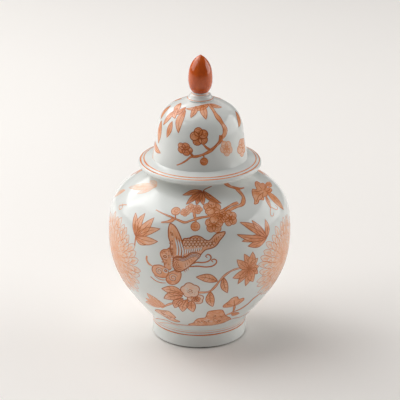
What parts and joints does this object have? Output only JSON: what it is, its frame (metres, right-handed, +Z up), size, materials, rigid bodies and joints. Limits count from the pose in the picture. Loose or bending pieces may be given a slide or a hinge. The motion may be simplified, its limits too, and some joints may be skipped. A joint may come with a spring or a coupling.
{
  "type": "ginger jar",
  "caption": "Round-bellied porcelain jar on a foot ring, with a domed lift-off lid, flat brim and bud finial, painted with flowers, bamboo and a butterfly.",
  "frame": {"origin": "centre of the foot ring's resting face, on the surface the jar stands on", "axes": "+Z up along the turning axis; the painted front with the butterfly faces -Y; +X is to the right seen from the front"},
  "size_m": [0.1578, 0.1578, 0.254],
  "materials": {
    "white_glaze": "gloss",
    "bare_clay": "matte",
    "iron_red": "gloss"
  },
  "bodies": {
    "jar": {"foot_ring": "white_glaze", "body_lower": "white_glaze", "body_upper": "white_glaze", "neck": "white_glaze"},
    "lid_seat": {"lid_locating_ring": "bare_clay"},
    "lid": {"lid_brim": "white_glaze", "lid_dome": "white_glaze", "finial_collar": "white_glaze", "finial_bud": "iron_red"}
  },
  "joints": [
    {"name": "lid_lift", "type": "slide", "parent": "jar", "child": "lid_seat", "axis": [0, 0, 1], "range_m": [0, 0.12]},
    {"name": "lid_turn", "type": "hinge", "parent": "lid_seat", "child": "lid", "pos_m": [0, 0, 0.1567], "axis": [0, 0, 1], "continuous": true}
  ]
}
